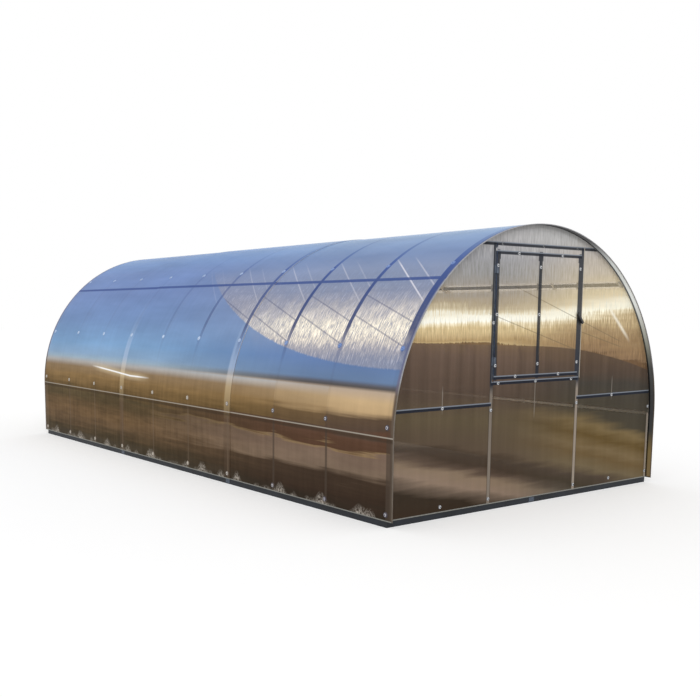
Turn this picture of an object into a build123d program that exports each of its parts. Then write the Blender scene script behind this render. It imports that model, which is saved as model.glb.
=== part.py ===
"""An arched greenhouse: bent tube arches on steel sills, covered with twin-wall sheets.

The long axis lies along Y. The front gable, with the window, faces -Y. The origin is on
the ground, at the middle of the plan. All sizes are in millimetres.
"""

import os
from math import cos, radians, sin

from build123d import *

# Overall sizes
frame_width = 3000.0
frame_length = 6000.0
spring_height = 600.0

# Rows of arches and sheets
sheet_count = 3
bays_per_sheet = 3

# Tubes of the frame
tube_side = 20.0
tube_wall = 1.5
bottom_rail_height = 40.0
upper_purlin_angle = 46.5

# Sills on the ground
sill_height = 50.0
sill_depth = 40.0
sill_wall = 2.0
joint_plate_length = 60.0
joint_plate_margin = 6.0
joint_plate_thickness = 2.0

# Twin-wall sheets
sheet_thickness = 4.0
sheet_overhang = 58.0
sheet_lap = 92.0
sheet_bottom_lap = 5.0
sheet_joint_gap = 0.5

# Gable frames
post_offset = 500.0
side_rail_height = 787.0
window_rail_height = 940.0
top_rail_drop = 155.0
corner_plate_side = 35.0
corner_plate_thickness = 3.0

# Leaves of the window and the door
leaf_side_gap = 6.0
leaf_top_gap = 41.0
leaf_bottom_gap = 20.0
door_threshold_gap = 10.0
leaf_sheet_lap = 30.0
leaf_rail_lap = 20.0
leaf_rail_foot_lap = 5.0

# Hinges
hinge_length = 60.0
hinge_plate_thickness = 2.0
hinge_plate_width = 20.0
hinge_pin_radius = 4.0
hinge_end_distance = 130.0
hinge_sheet_gap = 1.0

# Turn latches
latch_plate_width = 30.0
latch_plate_length = 74.0
latch_plate_thickness = 5.0
latch_plate_corner = 6.0
latch_boss_radius = 9.0
latch_boss_length = 6.0
latch_lever_width = 16.0
latch_lever_length = 92.0
latch_lever_thickness = 7.0
latch_lever_angle = 25.0
window_latch_height = 1412.0
door_latch_height = 1010.0

# Clearance of a curved face from its seat
seat_gap = 0.3

# Sizes that follow
arch_radius = frame_width / 2
arch_inside = arch_radius - tube_side
half_length = frame_length / 2
tube_bore = tube_side - 2 * tube_wall
bay_count = sheet_count * bays_per_sheet
arch_count = bay_count + 1
arch_pitch = (frame_length - tube_side) / bay_count
arch_places = [tube_side / 2 - half_length + arch_pitch * i for i in range(arch_count)]
bay_clear = arch_pitch - tube_side
sheet_bottom = sill_height - sheet_bottom_lap
post_inside = post_offset - tube_side / 2
post_outside = post_offset + tube_side / 2
peak = spring_height + arch_radius
top_rail_low = peak - top_rail_drop - tube_side / 2
window_rail_top = window_rail_height + tube_side / 2
leaf_half_width = post_inside - leaf_side_gap
leaf_top = top_rail_low - leaf_top_gap
window_leaf_low = window_rail_top + leaf_bottom_gap
door_leaf_low = sill_height + door_threshold_gap
hinge_pin_x = -(post_inside + leaf_half_width) / 2
leaf_sheet_left = hinge_pin_x + hinge_pin_radius + hinge_sheet_gap
leaf_sheet_right = post_inside + leaf_sheet_lap
leaf_sheet_top = top_rail_low + leaf_rail_lap

os.makedirs("parts", exist_ok=True)


def save(piece, name):
    """Label a finished piece and write it."""
    piece.label = name
    export_step(piece, f"parts/{name}.step")


def upright_plane(y):
    """A vertical plane facing -Y, with X to the right and Z up."""
    return Plane.XZ.offset(-y)


def arch_region(half_span, foot):
    """The area under an arch line: two straight legs and a half circle."""
    with BuildSketch() as region:
        with BuildLine():
            Polyline(
                (-half_span, spring_height),
                (-half_span, foot),
                (half_span, foot),
                (half_span, spring_height),
            )
            ThreePointArc(
                (half_span, spring_height),
                (0, spring_height + half_span),
                (-half_span, spring_height),
            )
        make_face()
    return region.sketch


def arch_band(outside, inside, foot):
    """The strip between two arch lines that stand at the same height."""
    with BuildSketch() as band:
        add(arch_region(outside, foot))
        add(arch_region(inside, foot), mode=Mode.SUBTRACT)
    return band.sketch


def bent_arch(y):
    """One arch, bent from square bar stock the size of the tube, on the side sills."""
    with BuildPart() as arch:
        with BuildSketch(upright_plane(y + tube_side / 2)):
            add(arch_band(arch_radius, arch_inside, sill_height))
        extrude(amount=tube_side)
    return arch.part


def purlin(angle):
    """A row of tubes between the arches, flush with them, at an angle up from the left side."""
    outward = (-cos(radians(angle)), sin(radians(angle)))
    centre_radius = arch_radius - tube_side / 2
    centre_x = centre_radius * outward[0]
    centre_z = spring_height + centre_radius * outward[1]
    starts = [
        Plane(
            origin=(centre_x, y + tube_side / 2, centre_z),
            x_dir=(outward[0], 0, outward[1]),
            z_dir=(0, 1, 0),
        )
        for y in arch_places[:-1]
    ]
    with BuildPart() as row:
        with BuildSketch(*starts):
            Rectangle(tube_side, tube_side)
            Rectangle(tube_bore, tube_bore, mode=Mode.SUBTRACT)
        extrude(amount=bay_clear)
    return row.part


def sill(length, direction, centre):
    """A rectangular tube on the ground, along X or Y."""
    with BuildPart() as bar:
        start = Vector(*centre) - Vector(*direction) * (length / 2)
        with BuildSketch(Plane(origin=start, x_dir=(0, 0, 1), z_dir=direction)):
            Rectangle(sill_height, sill_depth)
            Rectangle(sill_height - 2 * sill_wall, sill_depth - 2 * sill_wall, mode=Mode.SUBTRACT)
        extrude(amount=length)
    return bar.part


def sill_joint_plates():
    """Flat plates over the joints of the sills, on their outer faces below the sheets."""
    plate_height = sheet_bottom - 2 * joint_plate_margin
    face_x = arch_radius + joint_plate_thickness / 2
    face_y = half_length + joint_plate_thickness / 2
    joints = [arch_places[bays_per_sheet * i] for i in range(1, sheet_count)]
    with BuildPart() as plates:
        with Locations(*[(side * face_x, y, sheet_bottom / 2) for side in (-1, 1) for y in joints]):
            Box(joint_plate_thickness, joint_plate_length, plate_height)
        with Locations(*[(0, side * face_y, sheet_bottom / 2) for side in (-1, 1)]):
            Box(joint_plate_length, joint_plate_thickness, plate_height)
    return plates.part


def cover_sheet(start, end, layer):
    """One sheet bent over the arches. Layer 1 lies on layer 0."""
    inside = arch_radius + seat_gap + layer * (sheet_thickness + seat_gap)
    with BuildPart() as sheet:
        with BuildSketch(upright_plane(end)):
            add(arch_band(inside + sheet_thickness, inside, sheet_bottom))
        extrude(amount=end - start)
    return sheet.part


def gable_tube(side, left, right, low, high):
    """A straight tube in the plane of an end arch, cut to the arch where it meets it."""
    centre_y = side * (half_length - tube_side / 2)
    centre = ((left + right) / 2, (low + high) / 2)
    wide = right - left
    tall = high - low
    upright = tall > wide
    bore_size = (wide - 2 * tube_wall, tall) if upright else (wide, tall - 2 * tube_wall)
    with BuildPart() as tube:
        with BuildSketch(upright_plane(centre_y + tube_side / 2)):
            with Locations(centre):
                Rectangle(wide, tall)
            add(arch_region(arch_inside - seat_gap, 0), mode=Mode.INTERSECT)
        extrude(amount=tube_side)
        with BuildSketch(upright_plane(centre_y + tube_bore / 2)):
            with Locations(centre):
                Rectangle(*bore_size)
        extrude(amount=tube_bore, mode=Mode.SUBTRACT)
    return tube.part


def corner_plate(x, z, right, up):
    """A triangle that fills a square corner at (x, z). Each of right and up is 1 or -1."""
    with BuildSketch() as plate:
        with BuildLine():
            Polyline(
                (x, z),
                (x + right * corner_plate_side, z),
                (x, z + up * corner_plate_side),
                close=True,
            )
        make_face()
    return plate.sketch


def gable_posts(side):
    """The two posts beside the middle bay, with welded corner plates under the top rail."""
    plate_y = side * (half_length - tube_side / 2) + corner_plate_thickness / 2
    with BuildPart() as posts:
        for edge in (-post_outside, post_inside):
            add(gable_tube(side, edge, edge + tube_side, sill_height, top_rail_low))
        with BuildSketch(upright_plane(plate_y)):
            for edge in (-post_outside, post_inside):
                add(corner_plate(edge, top_rail_low, -1, -1))
                add(corner_plate(edge + tube_side, top_rail_low, 1, -1))
        extrude(amount=corner_plate_thickness)
    return posts.part


def gable_top_rail(side):
    """The rail over both posts, from arch to arch."""
    return gable_tube(side, -arch_radius, arch_radius, top_rail_low, top_rail_low + tube_side)


def gable_side_rails(side):
    """Middle and bottom rails between each leg of the arch and the post beside it."""
    middle = side_rail_height - tube_side / 2
    with BuildPart() as rails:
        for left, right in ((-arch_radius, -post_outside), (post_outside, arch_radius)):
            add(gable_tube(side, left, right, middle, middle + tube_side))
            add(gable_tube(side, left, right, sill_height, sill_height + bottom_rail_height))
    return rails.part


def window_rail(side):
    """The rail between the posts, under the window."""
    low = window_rail_height - tube_side / 2
    return gable_tube(side, -post_inside, post_inside, low, low + tube_side)


def gable_sheet(side, left, right, low, high):
    """A flat sheet on the outside of a gable, cut to the curve of the cover."""
    outer_y = side * half_length + (sheet_thickness if side > 0 else 0)
    with BuildPart() as sheet:
        with BuildSketch(upright_plane(outer_y)):
            with Locations(((left + right) / 2, (low + high) / 2)):
                Rectangle(right - left, high - low)
            add(arch_region(arch_radius, 0), mode=Mode.INTERSECT)
        extrude(amount=sheet_thickness)
    return sheet.part


def leaf_frame(side, low, cross_bars, middle_stile):
    """A welded frame that fills the middle bay, proud of the posts by one sheet."""
    outer_y = half_length + sheet_thickness
    back_y = max(side * outer_y, side * (outer_y - tube_side))
    plate_y = side * (outer_y - tube_side / 2) + corner_plate_thickness / 2
    tall = leaf_top - low
    corner = leaf_half_width - tube_side
    plate_places = [(-corner, 1), (corner, -1)]
    if middle_stile:
        plate_places += [(-tube_side / 2, -1), (tube_side / 2, 1)]
    with BuildPart() as frame:
        with BuildSketch(upright_plane(back_y)):
            with Locations((0, (leaf_top + low) / 2)):
                Rectangle(2 * leaf_half_width, tall)
                Rectangle(
                    2 * (leaf_half_width - tube_side), tall - 2 * tube_side, mode=Mode.SUBTRACT
                )
            for height in cross_bars:
                with Locations((0, height)):
                    Rectangle(2 * leaf_half_width, tube_side)
            if middle_stile:
                with Locations((0, (leaf_top + low) / 2)):
                    Rectangle(tube_side, tall)
        extrude(amount=tube_side)
        with BuildSketch(upright_plane(plate_y)):
            for x, right in plate_places:
                add(corner_plate(x, leaf_top - tube_side, right, -1))
                add(corner_plate(x, low + tube_side, right, 1))
        extrude(amount=corner_plate_thickness)
    return frame.part


def leaf_sheet(side, low):
    """The sheet on a leaf. It laps over the fixed sheets, but stops short of the hinges."""
    centre = (
        (leaf_sheet_left + leaf_sheet_right) / 2,
        side * (half_length + 1.5 * sheet_thickness),
        (leaf_sheet_top + low) / 2,
    )
    with BuildPart() as sheet:
        with Locations(centre):
            Box(leaf_sheet_right - leaf_sheet_left, sheet_thickness, leaf_sheet_top - low)
    return sheet.part


def hinges(side, low, count):
    """Hinges between the left post and a leaf, each with its pin out in front of the gap.

    The post's plate lies on the fixed sheet, and the leaf's plate on the leaf's sheet.
    """
    first = low + hinge_end_distance
    last = leaf_top - hinge_end_distance
    heights = [first + (last - first) * i / (count - 1) for i in range(count)]
    fixed_face = half_length + sheet_thickness
    leaf_face = fixed_face + sheet_thickness
    with BuildPart() as row:
        for height in heights:
            with Locations((hinge_pin_x, side * leaf_face, height)):
                Cylinder(hinge_pin_radius, hinge_length)
            for away, face in ((-1, fixed_face), (1, leaf_face)):
                plate_x = hinge_pin_x + away * hinge_plate_width / 2
                plate_y = side * (face + hinge_plate_thickness / 2)
                with Locations((plate_x, plate_y, height)):
                    Box(hinge_plate_width, hinge_plate_thickness, hinge_length)
    return row.part


def turn_latch(side, height):
    """A turn latch on the free stile of a leaf: plate, boss and slanting lever."""
    face_y = side * (half_length + 2 * sheet_thickness)
    stile_x = leaf_half_width - tube_side / 2
    outward = Plane(origin=(stile_x, face_y, height), x_dir=(1, 0, 0), z_dir=(0, side, 0))
    boss_top = latch_plate_thickness + latch_boss_length
    with BuildPart() as latch:
        with BuildSketch(outward) as plate:
            Rectangle(latch_plate_width, latch_plate_length)
            chamfer(plate.vertices(), latch_plate_corner)
        extrude(amount=latch_plate_thickness)
        with BuildSketch(outward.offset(latch_plate_thickness)):
            Circle(latch_boss_radius)
        extrude(amount=latch_boss_length)
        with BuildSketch(outward.offset(boss_top)):
            SlotOverall(latch_lever_length, latch_lever_width, rotation=90 + latch_lever_angle)
        extrude(amount=latch_lever_thickness)
    return latch.part


# Sills: the long ones run the whole length, and the short ones fit between them
sill_centre_x = arch_radius - sill_depth / 2
sill_centre_y = half_length - sill_depth / 2
short_sill_length = frame_width - 2 * sill_depth
for name, side in (("left", -1), ("right", 1)):
    centre = (side * sill_centre_x, 0, sill_height / 2)
    save(sill(frame_length, (0, 1, 0), centre), f"base_sill_{name}")
for name, side in (("front", -1), ("rear", 1)):
    centre = (0, side * sill_centre_y, sill_height / 2)
    save(sill(short_sill_length, (1, 0, 0), centre), f"base_sill_{name}")
save(sill_joint_plates(), "sill_joint_plates")

# Arches, numbered from the front
for number, place in enumerate(arch_places, start=1):
    save(bent_arch(place), f"arch_{number}")

# Purlins
save(purlin(0), "lower_purlin_left")
save(purlin(180), "lower_purlin_right")
save(purlin(upper_purlin_angle), "upper_purlin_left")
save(purlin(180 - upper_purlin_angle), "upper_purlin_right")
save(purlin(90), "ridge_purlin")

# Cover sheets: the middle one laps over the other two
lap_places = [arch_places[bays_per_sheet * i] for i in range(1, sheet_count)]
cover_end = half_length + sheet_overhang
save(cover_sheet(-cover_end, lap_places[0] + sheet_lap / 2, 0), "cover_sheet_front")
middle_start = lap_places[0] - sheet_lap / 2
middle_end = lap_places[-1] + sheet_lap / 2
save(cover_sheet(middle_start, middle_end, 1), "cover_sheet_middle")
save(cover_sheet(lap_places[-1] - sheet_lap / 2, cover_end, 0), "cover_sheet_rear")

# Both gables
sheet_edge = post_offset - sheet_joint_gap / 2
side_sheet_edge = post_offset + sheet_joint_gap / 2
for name, side in (("front", -1), ("rear", 1)):
    save(gable_posts(side), f"{name}_posts")
    save(gable_top_rail(side), f"{name}_top_rail")
    save(gable_side_rails(side), f"{name}_side_rails")
    left_sheet = gable_sheet(side, -arch_radius, -side_sheet_edge, sheet_bottom, peak)
    right_sheet = gable_sheet(side, side_sheet_edge, arch_radius, sheet_bottom, peak)
    save(left_sheet, f"{name}_sheet_left")
    save(right_sheet, f"{name}_sheet_right")
    save(gable_sheet(side, -sheet_edge, sheet_edge, top_rail_low, peak), f"{name}_sheet_top")

# Front gable: a fixed panel with the window over it
save(window_rail(-1), "window_rail")
fixed_panel = gable_sheet(-1, -sheet_edge, sheet_edge, sheet_bottom, window_rail_top)
save(fixed_panel, "front_sheet_lower")
save(leaf_frame(-1, window_leaf_low, [], True), "window_frame")
save(leaf_sheet(-1, window_rail_top - leaf_rail_foot_lap), "window_sheet")
save(hinges(-1, window_leaf_low, 2), "window_hinges")
save(turn_latch(-1, window_latch_height), "window_latch")

# Rear gable: a full-height door
save(leaf_frame(1, door_leaf_low, [window_rail_height], False), "door_frame")
save(leaf_sheet(1, sill_height + leaf_rail_foot_lap), "door_sheet")
save(hinges(1, door_leaf_low, 3), "door_hinges")
save(turn_latch(1, door_latch_height), "door_latch")
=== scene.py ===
"""Looks for the arched greenhouse: finishes of every piece, small fixings, studio and camera."""

import math

import bmesh
import bpy
from mathutils import Matrix, Vector


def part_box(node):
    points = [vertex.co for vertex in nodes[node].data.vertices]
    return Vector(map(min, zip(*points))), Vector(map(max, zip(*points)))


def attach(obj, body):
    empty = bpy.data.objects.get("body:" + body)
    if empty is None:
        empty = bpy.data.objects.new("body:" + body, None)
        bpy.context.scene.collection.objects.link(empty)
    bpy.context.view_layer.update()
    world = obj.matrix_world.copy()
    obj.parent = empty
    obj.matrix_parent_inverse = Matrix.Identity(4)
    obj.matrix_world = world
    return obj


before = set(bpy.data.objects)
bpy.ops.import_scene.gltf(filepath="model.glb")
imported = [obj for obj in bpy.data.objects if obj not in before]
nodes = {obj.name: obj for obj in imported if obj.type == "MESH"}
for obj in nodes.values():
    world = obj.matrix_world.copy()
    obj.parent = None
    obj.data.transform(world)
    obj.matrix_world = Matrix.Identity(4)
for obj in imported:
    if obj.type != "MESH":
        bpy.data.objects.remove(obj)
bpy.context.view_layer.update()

# Sheets and tubes, in metres
sheet_thickness = 0.004
cover_clearance = 0.0003
bar_half = 0.010


def middle(name):
    """Middle of a node's box."""
    low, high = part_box(name)
    return (low + high) / 2


# Sizes read from the frame
half_width, half_length, sill_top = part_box("base_sill_right")[1]
spring_height = middle("lower_purlin_left").z
cover_inner_low = half_width + cover_clearance
cover_outer_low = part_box("cover_sheet_front")[1].x
cover_outer_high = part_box("cover_sheet_middle")[1].x
sheet_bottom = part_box("cover_sheet_front")[0].z
gable_face = half_length + sheet_thickness
leaf_face = gable_face + sheet_thickness
arch_rows = [middle(f"arch_{i}").y for i in range(1, 11)]
arch_pitch = arch_rows[1] - arch_rows[0]
lap_rows = (arch_rows[3], arch_rows[6])
post_x = -(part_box("front_sheet_left")[1].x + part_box("front_sheet_top")[0].x) / 2
top_rail_z = middle("front_top_rail").z
window_rail_z = middle("window_rail").z
side_rail_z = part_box("front_side_rails")[1].z - bar_half
leaf_low, leaf_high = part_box("window_frame")
door_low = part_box("door_frame")[0].z
upper_purlin = middle("upper_purlin_right")
upper_purlin_angle = math.atan2(upper_purlin.z - spring_height, upper_purlin.x)
upper_purlin_place = spring_height + cover_outer_low * upper_purlin_angle

# Patterns run by height: on the covers round the bend to the crown's middle, elsewhere straight up
cover_girth = spring_height + cover_outer_low * math.pi / 2
gable_reach = 2.2
arch_reach = 2.1

# Noise lies mostly in this span, and what fades out goes from all to nothing
noise_span = (0.3, 0.7)
usual_noise = {"From Min": noise_span[0], "From Max": noise_span[1]}
fade_out = {"To Min": 1.0, "To Max": 0.0}


def linear(colour):
    """An sRGB hex colour, or one grey level, as linear red, green, blue and alpha."""
    if not isinstance(colour, str):
        return (colour, colour, colour, 1.0)
    parts = [int(colour[i:i + 2], 16) / 255 for i in (1, 3, 5)]
    return (*[c / 12.92 if c <= 0.04045 else ((c + 0.055) / 1.055) ** 2.4 for c in parts], 1.0)


def add_node(tree, kind, inputs=None, stops=None, **settings):
    """Add a shader node. An input takes a value, a socket, or a node for its first live output.

    A Mix node's inputs go by number: 0 is its share, 2 and 3 are its numbers, 6 and 7 its colours.
    """
    made = tree.nodes.new("ShaderNode" + kind)
    for name, value in settings.items():
        setattr(made, name, value)
    for name, value in (inputs or {}).items():
        if isinstance(value, bpy.types.Node):
            value = next(socket for socket in value.outputs if socket.enabled)
        if isinstance(value, bpy.types.NodeSocket):
            tree.links.new(value, made.inputs[name])
        else:
            made.inputs[name].default_value = value
    if stops:
        stops = list(stops)
        row = made.color_ramp.elements
        while len(row) < len(stops):
            row.new(0.5)
        for element, (place, colour) in zip(row, stops):
            element.position = place
            element.color = linear(colour)
    return made


def new_material(name):
    """A material with an empty node tree."""
    material = bpy.data.materials.new(name)
    material.use_nodes = True
    tree = material.node_tree
    tree.nodes.clear()
    return material, tree


def object_places(tree):
    """The object's own x, y and z."""
    places = add_node(tree, "TexCoord")
    return add_node(tree, "SeparateXYZ", {"Vector": places.outputs["Object"]}).outputs


def stretched_noise(tree, places, sizes, detail=2.0, roughness=0.5):
    """Noise whose cells have the given sizes in metres along two or three sockets."""
    scaled = [
        add_node(tree, "Math", {0: place, 1: 1 / size}, operation="MULTIPLY")
        for place, size in zip(places, sizes)
    ]
    vector = add_node(tree, "CombineXYZ", dict(zip("XYZ", scaled)))
    settings = {"Vector": vector, "Scale": 1.0, "Detail": detail, "Roughness": roughness}
    return add_node(tree, "TexNoise", settings)


def by_height(tree, height, stops, high, low=0.0):
    """A ramp through stops that are given at real heights, over the span from low to high."""
    share = add_node(tree, "MapRange", {"Value": height, "From Min": low, "From Max": high})
    places = [((place - low) / (high - low), colour) for place, colour in stops]
    return add_node(tree, "ValToRGB", {"Fac": share}, places)


def toned(tree, colour, value, low, high, share=1.0, span=noise_span):
    """Darken and lighten a colour, from a low tone to a high one as a value crosses its span."""
    tone = add_node(tree, "MapRange", {"Value": value, "From Min": span[0], "From Max": span[1],
                                       "To Min": low, "To Max": high})
    return add_node(tree, "Mix", {0: share, 6: colour, 7: tone}, data_type="RGBA", blend_type="MULTIPLY")


def distance(tree, value, centre):
    """How far a value is from a centre, to either side."""
    off = add_node(tree, "Math", {0: value, 1: centre}, operation="SUBTRACT")
    return add_node(tree, "Math", {0: off}, operation="ABSOLUTE")


def stripe(tree, value, centre, half_wide, strength, soft):
    """The strength on a stripe round one value of a pattern, and nothing beyond its soft edge."""
    off = distance(tree, value, centre)
    return add_node(tree, "MapRange", {"Value": off, "From Min": half_wide, "From Max": half_wide + soft,
                                       "To Min": strength, "To Max": 0.0})


def between(tree, value, ends, soft):
    """All between two ends of a value, and nothing beyond their soft edges."""
    return stripe(tree, value, sum(ends) / 2, (ends[1] - ends[0]) / 2, 1.0, soft)


def short_line(tree, value, line, along, ends, soft_ends):
    """A stripe between two ends. The line is its centre, half width, strength and soft edge."""
    over = stripe(tree, value, *line)
    within = between(tree, along, ends, soft_ends)
    return add_node(tree, "Math", {0: over, 1: within}, operation="MULTIPLY")


def round_the_bend(tree, x, z):
    """Height round the bent sheet from the ground, and radius from the bend's axis."""
    across = add_node(tree, "Math", {0: x}, operation="ABSOLUTE")
    above = add_node(tree, "Math", {0: z, 1: spring_height}, operation="SUBTRACT")
    rise = add_node(tree, "Math", {0: above, 1: 0.0}, operation="MAXIMUM")
    angle = add_node(tree, "Math", {0: rise, 1: across}, operation="ARCTAN2")
    leg = add_node(tree, "Math", {0: z, 1: spring_height}, operation="MINIMUM")
    height = add_node(tree, "Math", {0: angle, 1: cover_outer_low, 2: leg}, operation="MULTIPLY_ADD")
    spoke = add_node(tree, "CombineXYZ", {"X": across, "Y": rise})
    return height, add_node(tree, "VectorMath", {0: spoke}, operation="LENGTH").outputs["Value"]


def finish_sheet(tree, body, alpha):
    """Let a sheet be seen through by its alpha, and count each skin only from its own side."""
    turned = add_node(tree, "NewGeometry").outputs["Backfacing"]
    shown = add_node(tree, "Math", {0: 1.0, 1: turned}, operation="SUBTRACT")
    alpha = add_node(tree, "Math", {0: alpha, 1: shown}, operation="MULTIPLY")
    clear = add_node(tree, "BsdfTransparent")
    sheet = add_node(tree, "MixShader", {0: alpha, 1: clear, 2: body})
    add_node(tree, "OutputMaterial", {"Surface": sheet})


def finish_solid(tree, look):
    """Close a material with the settings of its one shader."""
    add_node(tree, "OutputMaterial", {"Surface": add_node(tree, "BsdfPrincipled", look)})


# Outer skin of the covers by height round the bend: a painted reflection of a field below the horizon and
# the sky above it
OUTER_FRONT = [
    (0.04, "#342C24"), (0.15, "#3C2F26"), (0.27, "#45372C"), (0.33, "#806D5C"), (0.47, "#7B6658"),
    (0.487, "#8F7757"), (0.505, "#573F30"), (0.60, "#5D4436"), (0.63, "#55453A"), (0.73, "#5E4C3C"),
    (0.77, "#BFA27A"), (0.84, "#CCAF86"), (0.915, "#BBA793"), (0.935, "#5A5552"), (0.955, "#5E5E66"),
    (0.98, "#6C84A6"), (1.12, "#6782B0"), (1.30, "#7C91B6"), (1.70, "#7D8BAB"), (1.95, "#8593B2"),
    (2.15, "#778CB3"), (2.45, "#829EC6"), (2.96, "#94B6D8"),
]
OUTER_REAR = [
    (0.04, "#4C4438"), (0.15, "#4C402E"), (0.26, "#68533C"), (0.36, "#71593E"), (0.46, "#5E4C34"),
    (0.57, "#574A33"), (0.63, "#6C5636"), (0.75, "#8A6F49"), (0.85, "#90795C"), (0.905, "#B0ACA8"),
    (0.95, "#9CB1C2"), (1.00, "#8CA9C8"), (1.12, "#7FA4CC"), (1.40, "#7490BC"), (1.75, "#7188B8"),
    (2.10, "#6F89BB"), (2.40, "#648BC1"), (2.96, "#558AC6"),
]
OUTER_ALPHA = [(0.04, 1.0), (0.93, 1.0), (0.98, 0.96), (1.85, 0.97), (2.10, 0.91), (2.96, 0.88)]
# Heights of the sunlit golden strip in the painted reflection
gold_band = (0.635, 0.915)

# Painted patch of low sunlight in the flutes, by height. Its lower edge rises with a power of the way along
SUN_PATCH = [
    (1.10, "#8E94A8"), (1.20, "#B2AEB2"), (1.27, "#E8DECF"), (1.35, "#F9F0DE"), (1.42, "#F0E7D6"),
    (1.48, "#D2CBC6"), (1.55, "#B2AFB3"), (1.63, "#999BAA"), (1.74, "#8991A7"), (1.95, "#8795B1"),
]
patch_low = 1.075
patch_rise = 0.058
patch_power = 2.4
# Painted thin dark lines that fall across the patch in each bay
reflected_slope = 0.37
reflected_starts = (1.49, 1.675)
# Painted steeper white glints across the upper purlin, brightest in the first bay
glint_slope = 0.74
glint_starts = (2.088, 2.237)
glint_ends = (1.66, 1.98)
# White glint along the horizon, which leans a little and then runs level, by where it is along
glare_slope = 0.0645
glare_height = 0.762
glare_lowest = 0.815
glare_ends = (0.66, 1.50)

# A tube under the sheet, by height, coloured blue by the painted sky reflection over it, and how far
# refraction moves its line
line_shift = 0.012
ARCH_LINE = [(1.00, "#54709E"), (1.20, "#4C6090"), (1.35, "#444E76"), (1.50, "#40507E"),
             (1.70, "#3E5289"), (1.82, "#40558E"), (2.00, "#4660A0"), (2.40, "#5A78B0")]
# At the ends the line lies nearer the cut edge, and a dull strip follows it in duller colours of the painted
# reflection
end_line_middle = half_length + 0.020
end_line_half = 0.018
END_STRIP = [(0.04, "#564C42"), (0.90, "#6A5C50"), (1.00, "#72748E"), (2.96, "#6E7C9C")]
# The doubled sheet of a lap veils what is under it and shows a paler painted reflection: its colour, and how
# strongly, by height
LAP_COLOUR = [(0.04, "#5A4A3C"), (0.55, "#6E5A4A"), (0.62, "#A08A66"), (0.82, "#CDB790"), (0.92, "#D2CCC6"),
              (1.00, "#BCCDE8"), (2.96, "#BCCDE8")]
LAP_VEIL = [(0.04, 0.30), (0.58, 0.40), (0.64, 0.55), (0.86, 0.55), (1.05, 0.42), (1.20, 0.25),
            (1.40, 0.06), (1.70, 0.0)]

# Inner skin of the covers, seen across the inside of the house, painted with the sunlight shining through:
# brown low down, a bright golden band, pale grey above
INNER_COLOUR = [
    (0.04, "#3A2E26"), (0.40, "#5B4732"), (0.98, "#7A5C3E"), (1.06, "#C89C58"), (1.30, "#E8C074"),
    (1.42, "#FFEBC0"), (1.62, "#E0CCA8"), (1.95, "#B4AEA8"), (2.96, "#B0B4BC"),
]
INNER_ALPHA = [(0.04, 0.99), (1.02, 0.97), (1.30, 0.85), (2.96, 0.85)]
# Share of the inner skin's light that has come through the sheet from outside
INNER_GLOW = [(0.04, 0.10), (0.76, 0.15), (1.10, 0.85), (1.60, 0.90), (2.00, 0.60), (2.96, 0.55)]
# Inside of the covers where they stand out past the gables, painted with the light and shade they lie in,
# and where the painted shade beside a gable ends
rim_shade = (half_length + 0.016, half_length + 0.022)
RIM = [
    (0.04, "#8A7656"), (0.28, "#86744E"), (0.45, "#4A4A48"), (0.60, "#48484A"), (1.00, "#525250"),
    (1.15, "#7A7A70"), (1.35, "#ACACA2"), (1.60, "#DEE0DC"), (2.05, "#D6DAD8"), (2.22, "#A2A4A4"),
    (2.42, "#5C5C5C"), (2.96, "#484848"),
]


def reflected_field_and_sky(tree, y, height, off_arch, bays_back):
    """A painted reflection in the outer skin: a brown field in drifts, a golden strip and the sky.

    bays_back counts the bays from the front. It rises half gradually and half in steps at the arches.
    """
    drifts = stretched_noise(tree, (y, height), (1.6, 0.06), 3.0, 0.55)
    drift = add_node(tree, "MapRange", {"Value": drifts, **usual_noise, "To Min": -0.05, "To Max": 0.05})
    # The sheet bends a little over each arch, and the image's edges rise to a point there
    cusp = add_node(tree, "MapRange", {"Value": off_arch, "From Max": 0.14,
                                       "To Min": -0.020, "To Max": 0.004})
    moved = add_node(tree, "Math", {0: drift, 1: cusp}, operation="ADD")
    low_part = add_node(tree, "MapRange", {"Value": height, "From Min": 0.66, "From Max": 0.82, **fade_out})
    level = add_node(tree, "Math", {0: moved, 1: low_part, 2: height}, operation="MULTIPLY_ADD")
    front = by_height(tree, level, OUTER_FRONT, cover_girth)
    rear = by_height(tree, level, OUTER_REAR, cover_girth)

    # The strip changes from bay to bay, the rest gradually
    gradual = add_node(tree, "MapRange", {"Value": y, "From Min": -2.3, "From Max": 1.0},
                       interpolation_type="SMOOTHSTEP")
    by_bay = add_node(tree, "MapRange", {"Value": bays_back, "From Min": 0.2, "From Max": 2.4})
    in_strip = between(tree, height, gold_band, 0.01)
    backward = add_node(tree, "Mix", {0: in_strip, 2: gradual, 3: by_bay}, data_type="FLOAT")
    colour = add_node(tree, "Mix", {0: backward, 6: front, 7: rear}, data_type="RGBA")
    clouds = stretched_noise(tree, (y, height), (1.1, 0.35), 2.0, 0.5)
    colour = toned(tree, colour, clouds, 0.90, 1.10)
    mottle = stretched_noise(tree, (y, height), (0.34, 0.06), 2.0, 0.6)
    blurs = stretched_noise(tree, (y, height), (0.05, 0.50), 2.0, 0.6)
    mottle = add_node(tree, "Math", {0: mottle, 1: blurs}, operation="ADD")
    in_field = add_node(tree, "MapRange", {"Value": height, "From Min": 0.60, "From Max": 0.95,
                                           "To Min": 0.9, "To Max": 0.15})
    rearward = add_node(tree, "MapRange", {"Value": y, "From Min": -2.3, "From Max": 0.0,
                                           "To Min": 0.35, "To Max": 0.9})
    in_field = add_node(tree, "Math", {0: in_field, 1: rearward}, operation="MULTIPLY")
    return toned(tree, colour, mottle, 0.74, 1.26, in_field, (0.7, 1.3))


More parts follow.
